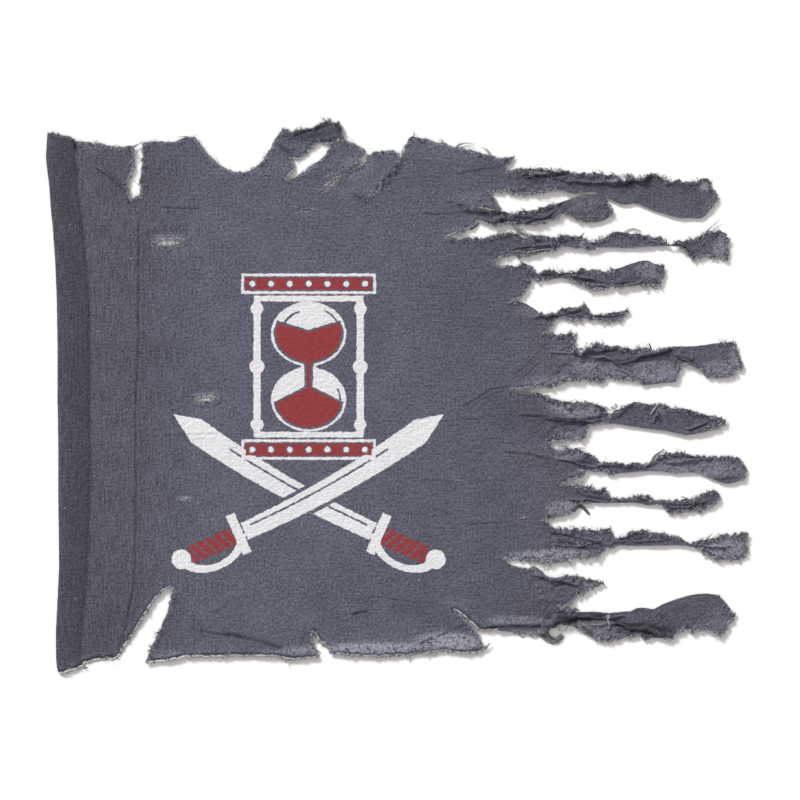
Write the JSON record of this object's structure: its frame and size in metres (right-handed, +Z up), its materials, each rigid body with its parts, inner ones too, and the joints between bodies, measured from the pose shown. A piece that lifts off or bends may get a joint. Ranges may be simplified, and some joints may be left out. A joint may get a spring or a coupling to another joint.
{
  "type": "tattered flag",
  "caption": "Worn cloth flag lying flat, with a turned sleeve along its hoist and a fly torn into gathered strips.",
  "frame": {"origin": "centre of the flag's box on the surface that it lies on", "axes": "+X from the hoist to the fly, +Y from the lower edge to the upper one, +Z up out of the printed face"},
  "size_m": [0.8956, 0.7072, 0.0096],
  "materials": {
    "flag_cloth": "loose-woven slate-grey cotton, faded and heathered, with a printed emblem and frayed edges"
  },
  "bodies": {
    "root": {"flag_cloth": "flag_cloth"}
  },
  "joints": []
}
